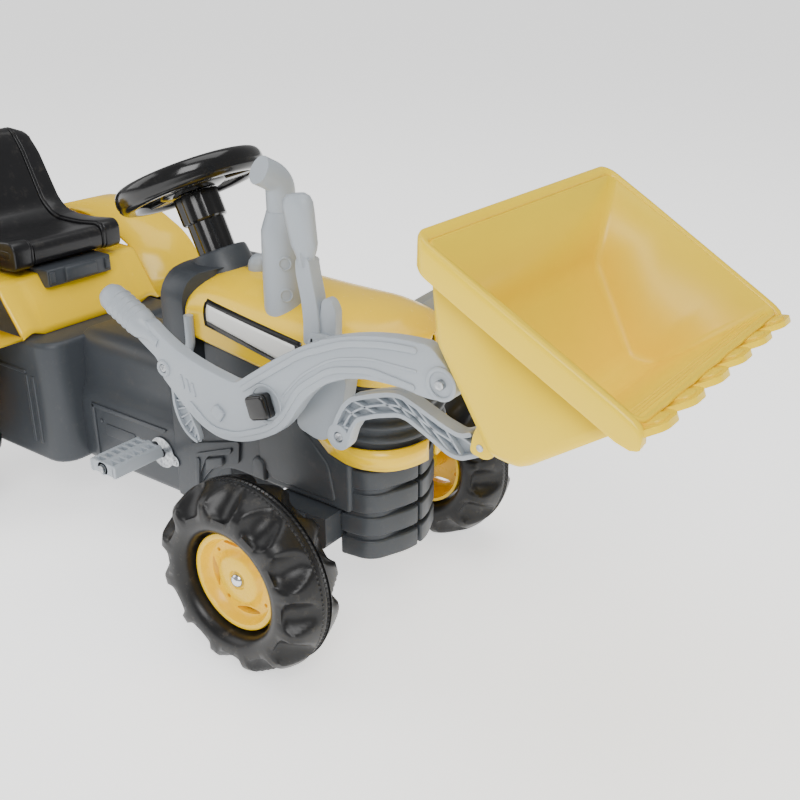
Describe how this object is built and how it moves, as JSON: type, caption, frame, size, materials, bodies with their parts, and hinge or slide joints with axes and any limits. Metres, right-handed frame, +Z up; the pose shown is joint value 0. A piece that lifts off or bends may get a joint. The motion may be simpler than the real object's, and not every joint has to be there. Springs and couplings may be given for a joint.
{
  "type": "ride on digger",
  "caption": "Child's pedal tractor with a hand-worked front loader: moulded body, seat, steered front wheels, crank-driven rear wheels, and a bucket that lifts and tips.",
  "frame": {"origin": "on the ground, under the centre of the bounding box", "axes": "+X is forwards towards the bucket, +Y is the driver's left, +Z is up"},
  "size_m": [1.277, 0.476, 0.5668],
  "materials": {
    "yellow_body": "moulded, lightly scuffed",
    "bucket_yellow": "moulded, satin gloss",
    "graphite": "blow-moulded, fine grain",
    "light_grey": "moulded, fine grain",
    "black": "moulded, satin",
    "tyre_black": "blow-moulded, satin",
    "rim_yellow": "moulded, gloss",
    "zinc": "zinc plated",
    "chrome": "bright plated"
  },
  "bodies": {
    "chassis": {"chassis_body": "graphite", "rear_deck": "yellow_body", "hood": "yellow_body", "front_grille": "graphite", "seat": "black", "seat_bracket": "graphite", "steering_bracket": "graphite", "exhaust_stack": "light_grey", "filler_cap": "graphite", "lever_rest_hook": "light_grey", "front_axle_beam": "black", "drive_chain": "zinc", "loader_mount_right": "graphite", "loader_mount_left": "graphite", "crank_plate_right": "zinc", "crank_plate_left": "zinc", "axle_bush_right": "black", "axle_bush_left": "black", "pivot_shaft": "zinc", "pivot_knob_right": "black", "pivot_knob_left": "black"},
    "rear_wheels": {"rear_axle": "zinc", "rear_tyre_right": "tyre_black", "rear_tyre_left": "tyre_black", "rear_rim_right": "rim_yellow", "rear_rim_left": "rim_yellow", "rear_hub_cap_right": "chrome", "rear_hub_cap_left": "chrome", "driven_sprocket": "zinc"},
    "crank": {"crank_shaft": "zinc", "drive_sprocket": "zinc"},
    "pedal_right": {"pedal_right": "light_grey"},
    "pedal_left": {"pedal_left": "light_grey"},
    "steering": {"steering_wheel": "black", "wheel_centre_cap": "black", "steering_column": "black", "steering_rod": "zinc"},
    "tie_rod": {"tie_rod": "zinc"},
    "knuckle_right": {"knuckle_right": "black"},
    "knuckle_left": {"knuckle_left": "black"},
    "front_wheel_right": {"front_tyre_right": "tyre_black", "front_rim_right": "rim_yellow", "front_hub_cap_right": "chrome"},
    "front_wheel_left": {"front_tyre_left": "tyre_black", "front_rim_left": "rim_yellow", "front_hub_cap_left": "chrome"},
    "loader_arms": {"loader_arm_right": "light_grey", "arm_inner_right": "light_grey", "loader_arm_left": "light_grey", "arm_inner_left": "light_grey", "handle_screw": "zinc", "bucket_hinge_shaft": "zinc"},
    "bucket": {"bucket": "bucket_yellow", "link_pin": "zinc"},
    "tilt_lever": {"tilt_lever": "light_grey", "fork_screw": "zinc"},
    "tilt_link": {"tilt_link": "light_grey"}
  },
  "joints": [
    {"name": "rear_wheels_spin", "type": "hinge", "parent": "chassis", "child": "rear_wheels", "pos_m": [-0.4835, 0, 0.155], "axis": [0, 1, 0], "continuous": true},
    {"name": "crank_turn", "type": "hinge", "parent": "chassis", "child": "crank", "pos_m": [-0.0825, 0, 0.148], "axis": [0, 1, 0], "continuous": true},
    {"name": "pedal_right_spin", "type": "hinge", "parent": "crank", "child": "pedal_right", "pos_m": [-0.0445, -0.166, 0.188], "axis": [0, 1, 0], "continuous": true},
    {"name": "pedal_left_spin", "type": "hinge", "parent": "crank", "child": "pedal_left", "pos_m": [-0.1205, 0.166, 0.108], "axis": [0, 1, 0], "continuous": true},
    {"name": "steering_turn", "type": "hinge", "parent": "chassis", "child": "steering", "pos_m": [-0.0695, 0, 0.5], "axis": [-0.4265, 0, 0.9045], "range_deg": [-30, 30]},
    {"name": "tie_rod_slide", "type": "slide", "parent": "chassis", "child": "tie_rod", "axis": [0, -1, 0], "range_m": [-0.0195, 0.0195]},
    {"name": "knuckle_right_turn", "type": "hinge", "parent": "chassis", "child": "knuckle_right", "pos_m": [0.1795, -0.118, 0.117], "axis": [0, 0, 1], "range_deg": [-24.5, 24.5]},
    {"name": "knuckle_left_turn", "type": "hinge", "parent": "chassis", "child": "knuckle_left", "pos_m": [0.1795, 0.118, 0.117], "axis": [0, 0, 1], "range_deg": [-24.5, 24.5]},
    {"name": "front_wheel_right_spin", "type": "hinge", "parent": "knuckle_right", "child": "front_wheel_right", "pos_m": [0.1795, -0.187, 0.117], "axis": [0, 1, 0], "continuous": true},
    {"name": "front_wheel_left_spin", "type": "hinge", "parent": "knuckle_left", "child": "front_wheel_left", "pos_m": [0.1795, 0.187, 0.117], "axis": [0, 1, 0], "continuous": true},
    {"name": "loader_lift", "type": "hinge", "parent": "chassis", "child": "loader_arms", "pos_m": [0.1855, 0, 0.316], "axis": [0, 1, 0], "range_deg": [0, 46]},
    {"name": "bucket_tilt", "type": "hinge", "parent": "loader_arms", "child": "bucket", "pos_m": [0.4135, 0, 0.396], "axis": [0, 1, 0], "range_deg": [-5, 35]},
    {"name": "tilt_lever_turn", "type": "hinge", "parent": "loader_arms", "child": "tilt_lever", "pos_m": [0.1855, -0.095, 0.316], "axis": [0, 1, 0], "range_deg": [-5.7, 38]},
    {"name": "tilt_link_turn", "type": "hinge", "parent": "tilt_lever", "child": "tilt_link", "pos_m": [0.2655, -0.116, 0.289], "axis": [0, 1, 0], "range_deg": [-49.2, 7.3]}
  ],
  "couplings": [
    {"joint": "crank_turn", "follows": "rear_wheels_spin", "ratio": 0.8},
    {"joint": "tie_rod_slide", "follows": "steering_turn", "m_per_rad": 0.0345},
    {"joint": "knuckle_right_turn", "follows": "steering_turn", "ratio": 0.76},
    {"joint": "knuckle_left_turn", "follows": "steering_turn", "ratio": 0.76},
    {"joint": "tilt_lever_turn", "follows": "bucket_tilt", "ratio": 1.078},
    {"joint": "tilt_link_turn", "follows": "bucket_tilt", "ratio": -1.398}
  ]
}
